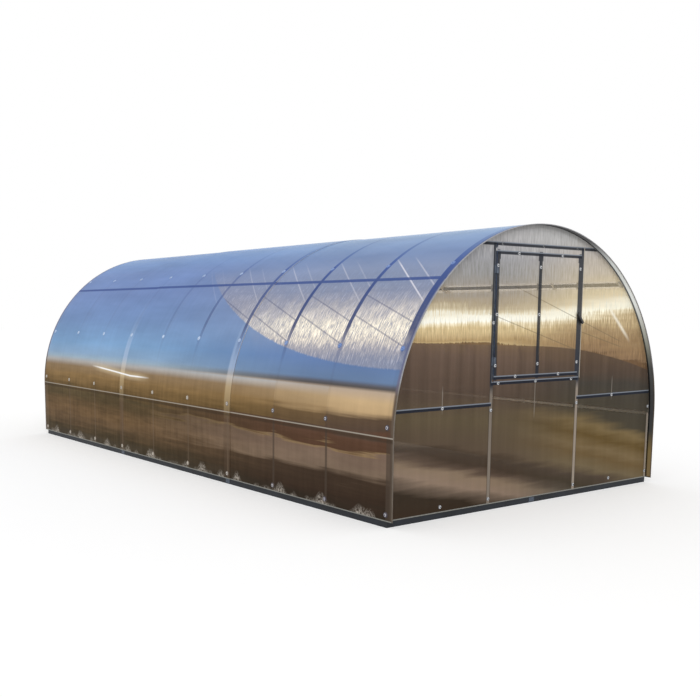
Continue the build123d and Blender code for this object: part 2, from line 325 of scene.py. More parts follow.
def sun_in_flutes(tree, colour, y, height, back_in_bay):
    """Painted low sunlight in the flutes: a patch with a sharp curved edge and thin dark lines across it,
    and painted glints.
    """
    grain = stretched_noise(tree, (y, height), (0.012, 0.085), 3.0, 0.8)
    broad = stretched_noise(tree, (y, height), (0.16, 0.30), 2.0, 0.6)
    along = add_node(tree, "Math", {0: y, 1: half_length}, operation="ADD")
    along = add_node(tree, "Math", {0: along, 1: 0.0}, operation="MAXIMUM")
    edge = add_node(tree, "Math", {0: along, 1: patch_power}, operation="POWER")
    edge = add_node(tree, "Math", {0: edge, 1: patch_rise, 2: patch_low}, operation="MULTIPLY_ADD")
    ragged = add_node(tree, "MapRange", {"Value": grain, **usual_noise, "To Min": -0.006, "To Max": 0.006})
    reach = add_node(tree, "Math", {0: height, 1: edge}, operation="SUBTRACT")
    reach = add_node(tree, "Math", {0: reach, 1: ragged}, operation="ADD")
    lit = add_node(tree, "MapRange", {"Value": reach, "From Max": 0.012, "To Max": 0.96})
    fading = add_node(tree, "MapRange", {"Value": height, "From Min": 1.60, "From Max": 2.05, **fade_out})
    lit = add_node(tree, "Math", {0: lit, 1: fading}, operation="MULTIPLY")

    # The patch reaches higher in the first bay, and pales away towards the rear
    higher = add_node(tree, "MapRange", {"Value": y, "From Min": -2.6, "From Max": -2.1,
                                         "To Min": -0.03, "To Max": 0.0})
    uneven = add_node(tree, "MapRange", {"Value": broad, **usual_noise, "To Min": -0.06, "To Max": 0.06})
    over_low = add_node(tree, "MapRange", {"Value": height, "From Min": 1.30, "From Max": 1.42})
    place = add_node(tree, "Math", {0: uneven, 1: over_low, 2: height}, operation="MULTIPLY_ADD")
    place = add_node(tree, "Math", {0: ragged, 1: 6.0, 2: place}, operation="MULTIPLY_ADD")
    place = add_node(tree, "Math", {0: place, 1: higher}, operation="ADD")
    patch = by_height(tree, place, SUN_PATCH, cover_girth)
    paler = add_node(tree, "MapRange", {"Value": y, "From Min": -1.8, "From Max": -0.7, "To Max": 0.85})
    patch = add_node(tree, "Mix", {0: paler, 6: patch, 7: linear("#9093A6")}, data_type="RGBA")
    lilac = add_node(tree, "MapRange", {"Value": grain, "From Min": 0.36, "From Max": 0.52,
                                        "To Min": 0.85, "To Max": 0.0})
    patch = add_node(tree, "Mix", {0: lilac, 6: patch, 7: linear("#8C93AC")}, data_type="RGBA")
    patch = toned(tree, patch, grain, 0.96, 1.45, span=(0.50, 0.66))
    lines = 0.0
    for start in reflected_starts:
        fallen = add_node(tree, "Math", {0: back_in_bay, 1: reflected_slope, 2: height},
                          operation="MULTIPLY_ADD")
        line = stripe(tree, fallen, start, 0.003, 0.55, 0.006)
        lines = add_node(tree, "Math", {0: line, 1: lines}, operation="MAXIMUM")
    patch = add_node(tree, "Mix", {0: lines, 6: patch, 7: linear("#5E6480")}, data_type="RGBA")
    colour = add_node(tree, "Mix", {0: lit, 6: colour, 7: patch}, data_type="RGBA")

    rising = add_node(tree, "Math", {0: back_in_bay, 1: glint_slope, 2: height}, operation="MULTIPLY_ADD")
    first, second = [short_line(tree, rising, (start, 0.002, 1.0, 0.008), height, glint_ends, 0.12)
                     for start in glint_starts]
    glints = add_node(tree, "Math", {0: second, 1: 0.5}, operation="MULTIPLY")
    glints = add_node(tree, "Math", {0: glints, 1: first}, operation="MAXIMUM")
    near_front = add_node(tree, "MapRange", {"Value": y, "From Min": -2.42, "From Max": -2.25,
                                             "To Min": 0.70, "To Max": 0.25})
    rear_fade = add_node(tree, "MapRange", {"Value": y, "From Min": -1.2, "From Max": 0.4, **fade_out})
    for share_shown in (near_front, rear_fade):
        glints = add_node(tree, "Math", {0: glints, 1: share_shown}, operation="MULTIPLY")
    return add_node(tree, "Mix", {0: glints, 6: colour, 7: linear("#ECEAF2")}, data_type="RGBA")


def laps_and_tubes(tree, colour, y, height, off_arch):
    """Doubled sheet at the laps with its paler painted reflection, and the tubes that the sheet lies on,
    with painted shade and highlight at the lower purlin. Gives colour and strength.
    """
    from_middle = add_node(tree, "Math", {0: y}, operation="ABSOLUTE")
    veil = by_height(tree, height, LAP_VEIL, cover_girth)
    lapped = stripe(tree, from_middle, lap_rows[1], 0.036, 1.0, 0.020)
    lapped = add_node(tree, "Math", {0: lapped, 1: veil}, operation="MULTIPLY")
    doubled = by_height(tree, height, LAP_COLOUR, cover_girth)
    colour = add_node(tree, "Mix", {0: lapped, 6: colour, 7: doubled}, data_type="RGBA")

    # An arch shows as a dark line, blue from the painted sky reflection over it, clearest near the front
    at_ends = stripe(tree, from_middle, end_line_middle, end_line_half, 1.0, 0.006)
    past_end = add_node(tree, "MapRange", {"Value": from_middle, "From Min": end_line_middle,
                                           "From Max": end_line_middle + end_line_half})
    strip = by_height(tree, height, END_STRIP, cover_girth)
    colour = add_node(tree, "Mix", {0: past_end, 6: colour, 7: strip}, data_type="RGBA")
    near_front = add_node(tree, "MapRange", {"Value": y, "From Min": -1.7, "From Max": 1.0,
                                             "To Min": 0.95, "To Max": 0.06},
                          interpolation_type="SMOOTHSTEP")
    from_low = add_node(tree, "MapRange", {"Value": height, "From Min": 1.05, "From Max": 1.38})
    to_high = add_node(tree, "MapRange", {"Value": height, "From Min": 2.00, "From Max": 2.45,
                                          "To Min": 1.0, "To Max": 0.4})
    on_arch = stripe(tree, off_arch, 0.0, 0.017, 1.0, 0.007)
    on_arch = add_node(tree, "Math", {0: on_arch, 1: at_ends}, operation="MAXIMUM")
    for share_shown in (near_front, from_low, to_high):
        on_arch = add_node(tree, "Math", {0: on_arch, 1: share_shown}, operation="MULTIPLY")
    on_purlin = stripe(tree, height, upper_purlin_place, 0.013, 0.9, 0.006)
    on_tube = add_node(tree, "Math", {0: on_arch, 1: on_purlin}, operation="MAXIMUM")
    line = by_height(tree, height, ARCH_LINE, cover_girth)
    colour = add_node(tree, "Mix", {0: on_tube, 6: colour, 7: line}, data_type="RGBA")

    # Its leg shows as a dull grey-brown line in the field part
    near_front = add_node(tree, "MapRange", {"Value": y, "From Min": -1.5, "From Max": -0.8,
                                             "To Min": 0.70, "To Max": 0.30})
    in_field = add_node(tree, "MapRange", {"Value": height, "From Min": spring_height, "From Max": 0.66,
                                           "To Min": 1.0, "To Max": 0.10})
    on_leg = stripe(tree, off_arch, 0.0, 0.010, 1.0, 0.006)
    on_leg = add_node(tree, "Math", {0: on_leg, 1: at_ends}, operation="MAXIMUM")
    for share_shown in (near_front, in_field):
        on_leg = add_node(tree, "Math", {0: on_leg, 1: share_shown}, operation="MULTIPLY")
    leg = add_node(tree, "ValToRGB", {"Fac": near_front}, [(0.30, "#7A6856"), (0.70, "#4E433A")])
    colour = add_node(tree, "Mix", {0: on_leg, 6: colour, 7: leg}, data_type="RGBA")

    # The lower purlin shows as a dark line of painted shade, and its upper edge glints through as a thin
    # pale painted highlight
    in_shade = stripe(tree, height, spring_height - 0.004, 0.006, 0.5, 0.014)
    colour = add_node(tree, "Mix", {0: in_shade, 6: colour, 7: linear("#3A3026")}, data_type="RGBA")
    on_edge = stripe(tree, height, spring_height + 0.016, 0.0025, 0.80, 0.0035)
    colour = add_node(tree, "Mix", {0: on_edge, 6: colour, 7: linear("#B0A89C")}, data_type="RGBA")
    return colour, on_tube


def nearest_arch(tree, y):
    """How far a place is from the nearest arch's line."""
    counted = add_node(tree, "Math", {0: y, 1: arch_rows[0] - line_shift}, operation="SUBTRACT")
    return add_node(tree, "Math", {0: counted, 1: arch_pitch / 2}, operation="PINGPONG")


def glare_and_drops(tree, colour, y, height):
    """A white glint along the horizon, and dried splashes over the bottom edge."""
    leaning = add_node(tree, "Math", {0: y, 1: glare_slope, 2: glare_height}, operation="MULTIPLY_ADD")
    leaning = add_node(tree, "Math", {0: leaning, 1: glare_lowest}, operation="MAXIMUM")
    off_glint = add_node(tree, "Math", {0: height, 1: leaning}, operation="SUBTRACT")
    for half_wide, strength, soft, tint in ((0.0, 0.45, 0.05, "#F0DDB8"), (0.004, 0.95, 0.006, "#FFFFFF")):
        glint = short_line(tree, off_glint, (0.0, half_wide, strength, soft), y, glare_ends, 0.25)
        colour = add_node(tree, "Mix", {0: glint, 6: colour, 7: linear(tint)}, data_type="RGBA")

    specks = stretched_noise(tree, (y, height), (0.014, 0.022), 2.0, 0.9)
    groups = stretched_noise(tree, (y, height), (0.24, 5.0), 1.0, 0.5)
    tall = add_node(tree, "MapRange", {"Value": groups, "From Min": 0.44, "From Max": 0.64,
                                       "To Min": 0.055, "To Max": 0.14})
    over = add_node(tree, "Math", {0: height, 1: tall}, operation="SUBTRACT")
    splash = add_node(tree, "MapRange", {"Value": over, "From Min": -0.07, "From Max": 0.0, **fade_out})
    speck = add_node(tree, "MapRange", {"Value": specks, "From Min": 0.42, "From Max": 0.62, "To Max": 0.9})
    splash = add_node(tree, "Math", {0: splash, 1: speck}, operation="MULTIPLY")
    return add_node(tree, "Mix", {0: splash, 6: colour, 7: linear("#CFC6BA")}, data_type="RGBA")


def cover_polycarbonate(name, skin_middle):
    """Bronze twin-wall polycarbonate, extruded and bent over the arches.

    The smooth outer skin is painted with a reflection of a blue sky over a brown field with a sharp
    horizon, and hides most of what is behind it. Painted low sunlight in the flutes round the bend shows
    gold and white.
    """
    material, tree = new_material(name)
    x, y, z = object_places(tree)
    height, radius = round_the_bend(tree, x, z)
    outside = add_node(tree, "Math", {0: radius, 1: skin_middle}, operation="GREATER_THAN")

    # Outer skin
    off_arch = nearest_arch(tree, y)
    bays = add_node(tree, "Math", {0: y, 1: arch_rows[0]}, operation="SUBTRACT")
    bays = add_node(tree, "Math", {0: bays, 1: arch_pitch}, operation="DIVIDE")
    whole_bays = add_node(tree, "Math", {0: bays}, operation="FLOOR")
    part_bay = add_node(tree, "Math", {0: bays, 1: whole_bays}, operation="SUBTRACT")
    back_in_bay = add_node(tree, "Math", {0: part_bay, 1: -arch_pitch, 2: arch_pitch},
                           operation="MULTIPLY_ADD")
    bays_back = add_node(tree, "Math", {0: part_bay, 1: 0.5, 2: whole_bays}, operation="MULTIPLY_ADD")
    outer = reflected_field_and_sky(tree, y, height, off_arch, bays_back)
    outer = sun_in_flutes(tree, outer, y, height, back_in_bay)
    outer, on_tube = laps_and_tubes(tree, outer, y, height, off_arch)
    outer = glare_and_drops(tree, outer, y, height)
    outer_alpha = by_height(tree, height, OUTER_ALPHA, cover_girth)
    sheen = add_node(tree, "LayerWeight", {"Blend": 0.5}).outputs["Facing"]
    sheen = add_node(tree, "MapRange", {"Value": sheen, "From Min": 0.20, "From Max": 0.60, "To Max": 0.97})
    outer_alpha = add_node(tree, "Math", {0: outer_alpha, 1: sheen}, operation="MAXIMUM")
    outer_alpha = add_node(tree, "Math", {0: outer_alpha, 1: on_tube}, operation="MAXIMUM")

    # Inner skin. Flutes are 6 mm wide, and are drawn about twice as coarse, so that they show
    flutes = stretched_noise(tree, (y, height), (0.014, 0.25), 3.0, 0.65)
    lit_height = add_node(tree, "MapRange", {"Value": flutes, **usual_noise,
                                             "To Min": -0.09, "To Max": 0.09})
    lit_height = add_node(tree, "Math", {0: lit_height, 1: height}, operation="ADD")
    inner = by_height(tree, lit_height, INNER_COLOUR, cover_girth)
    inner_alpha = by_height(tree, lit_height, INNER_ALPHA, cover_girth)
    from_middle = add_node(tree, "Math", {0: y}, operation="ABSOLUTE")
    overhung = add_node(tree, "Math", {0: from_middle, 1: gable_face}, operation="GREATER_THAN")
    rim = by_height(tree, height, RIM, cover_girth)
    # Painted shade on the overhang beside the gable
    rim = toned(tree, rim, from_middle, 0.14, 1.0, span=rim_shade)
    inner = add_node(tree, "Mix", {0: overhung, 6: inner, 7: rim}, data_type="RGBA")
    inner_alpha = add_node(tree, "Math", {0: inner_alpha, 1: overhung}, operation="MAXIMUM")

    colour = add_node(tree, "Mix", {0: outside, 6: inner, 7: outer}, data_type="RGBA")
    alpha = add_node(tree, "Mix", {0: outside, 2: inner_alpha, 3: outer_alpha}, data_type="FLOAT")
    bump = add_node(tree, "Bump", {"Strength": 0.12, "Distance": 0.001, "Height": flutes})
    skin = add_node(tree, "BsdfPrincipled", {
        "Base Color": colour, "Normal": bump, "Roughness": 0.22, "IOR": 1.4, "Specular IOR Level": 0.01,
    })
    glow = by_height(tree, lit_height, INNER_GLOW, cover_girth)
    inward = add_node(tree, "Math", {0: 1.0, 1: outside}, operation="SUBTRACT")
    glow = add_node(tree, "Math", {0: glow, 1: inward}, operation="MULTIPLY")
    through = add_node(tree, "BsdfTranslucent", {"Color": colour})
    body = add_node(tree, "MixShader", {0: glow, 1: skin, 2: through})
    finish_sheet(tree, body, alpha)
    return material


# Gable sheets from outside, painted with the ground beyond and low sunlight. Below the edge of the brown:
# bands by sloping height, left and right
FIELD_LEFT = [
    (-0.30, "#3E3228"), (-0.08, "#372D23"), (-0.01, "#6A5B4E"), (0.03, "#8C7867"), (0.11, "#86735F"),
    (0.16, "#5A4A3E"), (0.21, "#42352A"), (0.27, "#463A2F"), (0.33, "#5C4E40"), (0.60, "#615542"),
    (0.82, "#57493F"), (0.95, "#5F4F44"), (1.10, "#66554A"), (1.20, "#735F4C"),
]
FIELD_RIGHT = [
    (-0.10, "#5C544A"), (0.10, "#635C52"), (0.20, "#453D31"), (0.28, "#51453A"), (0.35, "#72644C"),
    (0.46, "#6C593C"), (0.53, "#79674A"), (0.62, "#63502F"), (0.69, "#7A6848"), (0.76, "#4A4438"),
    (0.95, "#46423C"), (1.05, "#54473D"), (1.24, "#5C4C40"),
]
# Above it, painted low sunlight by height over the edge, stretched so that the brightest band is at 0.2
SUN_LEFT = [
    (0.000, "#7A6248"), (0.005, "#C8B084"), (0.025, "#B0966C"), (0.08, "#C6AE84"), (0.13, "#DCC698"),
    (0.165, "#F6EACB"), (0.19, "#FFFEF2"), (0.245, "#FFFBEA"), (0.27, "#DDD0B0"), (0.31, "#B3A388"),
    (0.40, "#A0978B"), (0.55, "#9A9998"), (0.66, "#A0A0A4"), (0.80, "#BAB8B8"),
]
SUN_RIGHT = [
    (0.000, "#6E5640"), (0.006, "#8A7056"), (0.04, "#94795A"), (0.10, "#A08765"), (0.15, "#C0A981"),
    (0.185, "#EBDDBB"), (0.21, "#FFFCE8"), (0.25, "#F8F0D8"), (0.33, "#DACAA6"), (0.48, "#C9BCA5"),
    (0.65, "#C2BAB2"), (0.80, "#BCBCBA"),
]
brown_edge = 1.203
brown_edge_slope = -0.035
brown_edge_drop = -0.085
bright_height = 1.395
bright_slope = 0.10
bright_place = 0.2
# Painted shadows of the arches: thin dark lines that slant through the gold, as slope, height at the middle
# and ends across
arch_shadow_lines = ((0.32, 1.556, (-0.25, 1.00)), (0.28, 1.294, (-0.48, 0.45)), (0.24, 1.43, (0.50, 1.00)))
# A painted steep white glint at the right, in the same terms
gable_glint = (0.90, 2.28, (0.92, 1.08))
# How far inside a sheet's box its cut edge catches the light
cut_edge_inset = 0.003
# Painted thin pale upright glints, as place across and ends in height
upright_glints = ((-0.01, (0.70, 0.92)), (-1.0, (0.79, 0.90)), (0.96, (0.79, 0.90)))
GABLE_ALPHA = [
    (0.0, 1.0), (0.45, 0.98), (0.62, 0.93), (0.96, 0.94), (1.10, 0.96), (1.56, 0.93), (2.20, 0.90),
]
# The far purlins show through clearer strips of the sheet, and little else does. A strip is given as
# slope, height at the middle, half height, how much clearer it is, and where it starts at the left
clear_strips = ((0.034, 1.646, 0.016, 0.50, -half_width), (-0.120, 0.779, 0.010, 0.20, -0.45))
GABLE_INNER = [
    (0.0, "#3A3026"), (0.60, "#4A3C2C"), (0.90, "#3A3A40"), (1.10, "#3C5480"), (2.20, "#4C66A0"),
]
# Tubes behind the gable sheets by height, painted on the sheet: uprights are painted pale in daylight low
# down and dark above
POST_COLOUR = [
    (0.0, "#857B70"), (0.86, "#80766C"), (0.93, "#2E3138"), (1.40, "#32353A"), (2.20, "#2E3138"),
]
RAIL_COLOUR = [(0.0, "#262A34"), (1.10, "#262A34"), (1.60, "#2E3138"), (2.20, "#2E3138")]


def near_bars(tree, across, z, bars):
    """How far outside the nearest bar a point is. Bars are given as at post_bars."""
    nearest = 1.0
    for (centre, half_wide), (low, high) in bars:
        side = distance(tree, across, centre)
        side = add_node(tree, "Math", {0: side, 1: half_wide}, operation="SUBTRACT")
        up = distance(tree, z, (low + high) / 2)
        up = add_node(tree, "Math", {0: up, 1: (high - low) / 2}, operation="SUBTRACT")
        reach = add_node(tree, "Math", {0: side, 1: up}, operation="MAXIMUM")
        nearest = add_node(tree, "Math", {0: nearest, 1: reach}, operation="MINIMUM")
    return nearest


def bars_through_sheet(tree, colour, across, rightward, z, posts, rails):
    """Posts and rails that the sheet lies on, with painted shade beside the low posts and a painted
    highlight on each rail's top. Gives colour and strength.
    """
    off_post = near_bars(tree, across, z, posts)
    blurred = add_node(tree, "MapRange", {"Value": z, "From Min": 0.90, "From Max": 0.94, "To Max": 0.004})
    off_post = add_node(tree, "Math", {0: off_post, 1: blurred}, operation="SUBTRACT")
    # Painted shade beside the posts low down
    low_part = add_node(tree, "MapRange", {"Value": z, "From Min": 0.88, "From Max": 0.93,
                                           "To Min": 0.6, "To Max": 0.0})
    shade = stripe(tree, off_post, 0.005, 0.004, 1.0, 0.004)
    shade = add_node(tree, "Math", {0: shade, 1: low_part}, operation="MULTIPLY")
    colour = add_node(tree, "Mix", {0: shade, 6: colour, 7: linear("#38312A")}, data_type="RGBA")
    on_post = add_node(tree, "MapRange", {"Value": off_post, "From Min": 0.002, "From Max": 0.008,
                                          "To Min": 0.95, "To Max": 0.0})
    post = by_height(tree, z, POST_COLOUR, gable_reach)
    # Posts are lighter towards the right
    post = toned(tree, post, rightward, 1.0, 1.45, span=(0.0, 0.4))
    colour = add_node(tree, "Mix", {0: on_post, 6: colour, 7: post}, data_type="RGBA")

    off_rail = near_bars(tree, across, z, rails)
    on_rail = add_node(tree, "MapRange", {"Value": off_rail, "From Min": 0.001, "From Max": 0.005,
                                          "To Min": 0.95, "To Max": 0.0})
    rail = by_height(tree, z, RAIL_COLOUR, gable_reach)
    colour = add_node(tree, "Mix", {0: on_rail, 6: colour, 7: rail}, data_type="RGBA")
    # A painted highlight along each rail's top edge
    tops = [(wide, (top - 0.001, top + 0.002)) for wide, (_, top) in rails]
    on_top = stripe(tree, near_bars(tree, across, z, tops), 0.0, 0.001, 0.6, 0.003)
    colour = add_node(tree, "Mix", {0: on_top, 6: colour, 7: linear("#9EA6B2")}, data_type="RGBA")
    return colour, add_node(tree, "Math", {0: on_post, 1: on_rail}, operation="MAXIMUM")


def gable_polycarbonate(name, skin_middle, posts, rails, sheet_end):
    """Bronze twin-wall polycarbonate cut flat for the gables, with upright flutes.

    Upright flutes blur what is behind them sideways, so the low sun and the ground beyond are painted
    in as a bright band of painted light over brown ones, with fine upright streaks, and only a tube
    that the sheet lies on shows clearly. The cut edge at the sheet's end has a painted highlight.
    """
    material, tree = new_material(name)
    x, y, z = object_places(tree)
    across = add_node(tree, "Math", {0: x}, operation="ABSOLUTE")
    depth = add_node(tree, "Math", {0: y}, operation="ABSOLUTE")
    outside = add_node(tree, "Math", {0: depth, 1: skin_middle}, operation="GREATER_THAN")
    side = add_node(tree, "Math", {0: y}, operation="SIGN")
    leftward = add_node(tree, "Math", {0: x, 1: side}, operation="MULTIPLY")
    rightward = add_node(tree, "Math", {0: leftward, 1: -1.0}, operation="MULTIPLY")

    # Flutes are 6 mm wide, and are drawn about twice as coarse, so that they show
    flutes = stretched_noise(tree, (x, z), (0.012, 0.13), 3.0, 0.7)
    columns = stretched_noise(tree, (x, z), (0.07, 1.5), 2.0, 0.5)
    drifts = stretched_noise(tree, (x, z), (0.9, 0.07), 2.0, 0.5)

    # Painted brown bands of the ground beyond, which slope down to the right
    slope = add_node(tree, "MapRange", {"Value": z, "From Min": 0.50, "From Max": 0.80,
                                        "To Min": 0.22, "To Max": 0.08})
    drift = add_node(tree, "MapRange", {"Value": drifts, **usual_noise, "To Min": -0.025, "To Max": 0.025})
    level = add_node(tree, "Math", {0: rightward, 1: slope, 2: z}, operation="MULTIPLY_ADD")
    level = add_node(tree, "Math", {0: level, 1: drift}, operation="ADD")
    left, right = [by_height(tree, level, stops, 1.30, -0.30) for stops in (FIELD_LEFT, FIELD_RIGHT)]
    over = add_node(tree, "MapRange", {"Value": rightward, "From Min": -0.5, "From Max": 0.7},
                    interpolation_type="SMOOTHSTEP")
    field = add_node(tree, "Mix", {0: over, 6: left, 7: right}, data_type="RGBA")
    upper = add_node(tree, "MapRange", {"Value": z, "From Min": 0.5, "From Max": 0.9,
                                        "To Min": 0.35, "To Max": 1.0})
    field = toned(tree, field, columns, 0.84, 1.16, upper)

    # Painted golden light above them, in a fan that widens to the right
    right_only = add_node(tree, "Math", {0: rightward, 1: 0.0}, operation="MAXIMUM")
    squared = add_node(tree, "Math", {0: right_only, 1: 2.0}, operation="POWER")
    edge = add_node(tree, "Math", {0: rightward, 1: brown_edge_slope, 2: brown_edge},
                    operation="MULTIPLY_ADD")
    edge = add_node(tree, "Math", {0: squared, 1: brown_edge_drop, 2: edge}, operation="MULTIPLY_ADD")
    bright = add_node(tree, "Math", {0: right_only, 1: bright_slope, 2: bright_height},
                      operation="MULTIPLY_ADD")
    over_edge = add_node(tree, "Math", {0: z, 1: edge}, operation="SUBTRACT")
    reach = add_node(tree, "Math", {0: bright, 1: edge}, operation="SUBTRACT")
    low_share = add_node(tree, "Math", {0: over_edge, 1: reach}, operation="DIVIDE")
    low_share = add_node(tree, "Math", {0: low_share, 1: 1.0}, operation="MINIMUM")
    over_bright = add_node(tree, "Math", {0: z, 1: bright}, operation="SUBTRACT")
    over_bright = add_node(tree, "Math", {0: over_bright, 1: 0.0}, operation="MAXIMUM")
    fan = add_node(tree, "Math", {0: low_share, 1: bright_place, 2: over_bright}, operation="MULTIPLY_ADD")
    ragged = add_node(tree, "MapRange", {"Value": flutes, **usual_noise, "To Min": -0.020, "To Max": 0.020})
    wilder = add_node(tree, "MapRange", {"Value": fan, "From Max": 0.4, "To Min": 0.5, "To Max": 2.5})
    streaked = add_node(tree, "Math", {0: ragged, 1: wilder, 2: fan}, operation="MULTIPLY_ADD")
    streaked = add_node(tree, "Math", {0: drift, 1: 0.8, 2: streaked}, operation="MULTIPLY_ADD")
    left, right = [add_node(tree, "ValToRGB", {"Fac": streaked}, stops) for stops in (SUN_LEFT, SUN_RIGHT)]
    sun = add_node(tree, "Mix", {0: over, 6: left, 7: right}, data_type="RGBA")
    sun = toned(tree, sun, flutes, 0.82, 1.12, span=(0.35, 0.65))
    sunny = add_node(tree, "MapRange", {"Value": over_edge, "From Min": -0.004, "From Max": 0.004})
    outer = add_node(tree, "Mix", {0: sunny, 6: field, 7: sun}, data_type="RGBA")
    # Painted shadows of the arches, and a painted glint
    slanting = [(*line, (0.002, 0.5, 0.004), "#6E624E") for line in arch_shadow_lines]
    slanting.append((*gable_glint, (0.002, 0.65, 0.028), "#FFFBEC"))
    for slant, start, ends, look, tint in slanting:
        fallen = add_node(tree, "Math", {0: rightward, 1: slant, 2: z}, operation="MULTIPLY_ADD")
        line = short_line(tree, fallen, (start, *look), rightward, ends, 0.1)
        outer = add_node(tree, "Mix", {0: line, 6: outer, 7: linear(tint)}, data_type="RGBA")
    for place, ends in upright_glints:
        line = short_line(tree, rightward, (place, 0.002, 0.45, 0.004), z, ends, 0.05)
        outer = add_node(tree, "Mix", {0: line, 6: outer, 7: linear("#A49C92")}, data_type="RGBA")
    outer, on_bar = bars_through_sheet(tree, outer, across, rightward, z, posts, rails)
    cut_edge = stripe(tree, rightward, sheet_end, 0.003, 0.75, 0.002)
    outer = add_node(tree, "Mix", {0: cut_edge, 6: outer, 7: linear("#C8BFB0")}, data_type="RGBA")
    outer_alpha = by_height(tree, z, GABLE_ALPHA, gable_reach)
    for slant, start, half_high, clearer, left_end in clear_strips:
        rising = add_node(tree, "Math", {0: rightward, 1: -slant, 2: z}, operation="MULTIPLY_ADD")
        clear = stripe(tree, rising, start, half_high, clearer, half_high)
        reach = add_node(tree, "MapRange", {"Value": rightward, "From Min": left_end - 0.08,
                                            "From Max": left_end})
        clear = add_node(tree, "Math", {0: clear, 1: reach}, operation="MULTIPLY")
        outer_alpha = add_node(tree, "Math", {0: outer_alpha, 1: clear}, operation="SUBTRACT")
    outer_alpha = add_node(tree, "Math", {0: outer_alpha, 1: on_bar}, operation="MAXIMUM")

    inner = by_height(tree, z, GABLE_INNER, gable_reach)
    inner_alpha = add_node(tree, "MapRange", {"Value": z, "From Min": 0.9, "From Max": 1.1,
                                              "To Min": 0.98, "To Max": 0.8})
    colour = add_node(tree, "Mix", {0: outside, 6: inner, 7: outer}, data_type="RGBA")
    alpha = add_node(tree, "Mix", {0: outside, 2: inner_alpha, 3: outer_alpha}, data_type="FLOAT")
    bump = add_node(tree, "Bump", {"Strength": 0.12, "Distance": 0.001, "Height": flutes})
    skin = add_node(tree, "BsdfPrincipled", {
        "Base Color": colour, "Normal": bump, "Roughness": 0.25, "IOR": 1.4, "Specular IOR Level": 0.02,
    })
    finish_sheet(tree, skin, alpha)
    return material


# Tubes behind the gable sheets, as (centre, half width) across and (low, high) up
post_bars = [
    ((post_x, bar_half), (sill_top, top_rail_z)),
    ((half_width - bar_half, bar_half), (sill_top, spring_height)),
]


def level_bar(level, left, right):
    """A rail at one level, from left to right."""
    return ((left + right) / 2, (right - left) / 2), (level - bar_half, level + bar_half)


top_rail_bar = level_bar(top_rail_z, -half_width, half_width)
side_rail_bar = level_bar(side_rail_z, post_x, half_width)
window_rail_bar = level_bar(window_rail_z, -post_x, post_x)


def leaf_rails(low, cross):
    """Bottom, top and cross bars of a leaf's frame."""
    levels = (low + bar_half, *cross, leaf_high.z - bar_half)
    return [level_bar(level, -leaf_high.x, leaf_high.x) for level in levels]


# Welded plates where a leaf's stiles meet its top bar: half width, and both ends below the top
plate_half = 0.018
plate_ends = (0.050, 0.015)


def leaf_stiles(low, places):
    """Upright bars of a leaf's frame, with their welded plates."""
    plate = tuple(leaf_high.z - end for end in plate_ends)
    stiles = [((place, bar_half), (low, leaf_high.z)) for place in places]
    return stiles + [((place, plate_half), plate) for place in places]


# Sides of the tubes inside the house, painted by height with the light round them. The pale band
# of an arch at the lower purlin's height is painted light as well
ARCH_SIDES = [
    (0.0, "#4A3E32"), (0.57, "#564838"), (0.58, "#D8D2C8"), (0.62, "#D8D2C8"), (0.63, "#584A3A"),
    (0.85, "#5E4E3C"), (1.10, "#927A54"), (1.40, "#E8DCBC"), (1.50, "#FFF8E8"), (1.80, "#FFF8E8"),
    (1.90, "#A09C96"), (2.10, "#8C8E92"),
]
# Purlins are painted pale in daylight low down and dark above
PURLIN_SIDES = [(0.0, "#F4EEE4"), (0.80, "#F4EEE4"), (1.20, "#2A2E36"), (2.10, "#2A2E36")]


def zinc_spangle(tree, places):
    """Cloudy crystals of a zinc coat, about 30 mm wide, and the faint relief that they give."""
    spangle = stretched_noise(tree, places, (0.03, 0.03, 0.03), 3.0, 0.6)
    relief = add_node(tree, "Bump", {"Strength": 0.2, "Distance": 0.0006, "Height": spangle})
    return spangle, relief


def arch_steel(name, sides):
    """Zinc-coated square tube of the arches and purlins, dull, and painted with the light round it.

    The outer face lies against the sheet, away from the light, and is painted nearly black as shade.
    """
    material, tree = new_material(name)
    x, y, z = object_places(tree)
    radius = round_the_bend(tree, x, z)[1]
    # Painted shade: the outer face against the sheet is nearly black
    against = add_node(tree, "Math", {0: radius, 1: half_width - 0.001}, operation="GREATER_THAN")
    colour = by_height(tree, z, sides, arch_reach)
    colour = add_node(tree, "Mix", {0: against, 6: colour, 7: linear("#20242C")}, data_type="RGBA")
    spangle, relief = zinc_spangle(tree, (x, y, z))
    colour = toned(tree, colour, spangle, 0.85, 1.15)
    finish_solid(tree, {"Base Color": colour, "Normal": relief, "Roughness": 0.5, "Metallic": 0.1})
    return material


def galvanised_steel(name, dark, light, roughness):
    """Zinc-coated steel tube: a dull blue-grey with cloudy spangle and a soft, broken shine."""
    material, tree = new_material(name)
    places = object_places(tree)
    spangle, relief = zinc_spangle(tree, places)
    stains = stretched_noise(tree, places, (0.25, 0.25, 0.25), 2.0, 0.5)
    mixed = add_node(tree, "Math", {0: spangle, 1: stains}, operation="ADD")
    share = add_node(tree, "MapRange", {"Value": mixed, "From Min": 0.75, "From Max": 1.25})
    colour = add_node(tree, "ValToRGB", {"Fac": share}, [(0.0, dark), (1.0, light)])
    dull = add_node(tree, "MapRange", {"Value": spangle, **usual_noise,
                                       "To Min": roughness - 0.08, "To Max": roughness + 0.08})
    finish_solid(tree, {"Base Color": colour, "Roughness": dull, "Normal": relief, "Metallic": 0.35})
    return material


def latch_nylon(name):
    """Glass-filled nylon, injection moulded: near black, with a fine grain and a dull shine."""
    material, tree = new_material(name)
    grain = stretched_noise(tree, object_places(tree), (0.002, 0.002, 0.002), 2.0, 0.6)
    colour = add_node(tree, "ValToRGB", {"Fac": grain}, [(0.3, "#0E0F12"), (0.7, "#1E2024")])
    bump = add_node(tree, "Bump", {"Strength": 0.2, "Distance": 0.0003, "Height": grain})
    finish_solid(tree, {"Base Color": colour, "Normal": bump, "Roughness": 0.45, "IOR": 1.53})
    return material


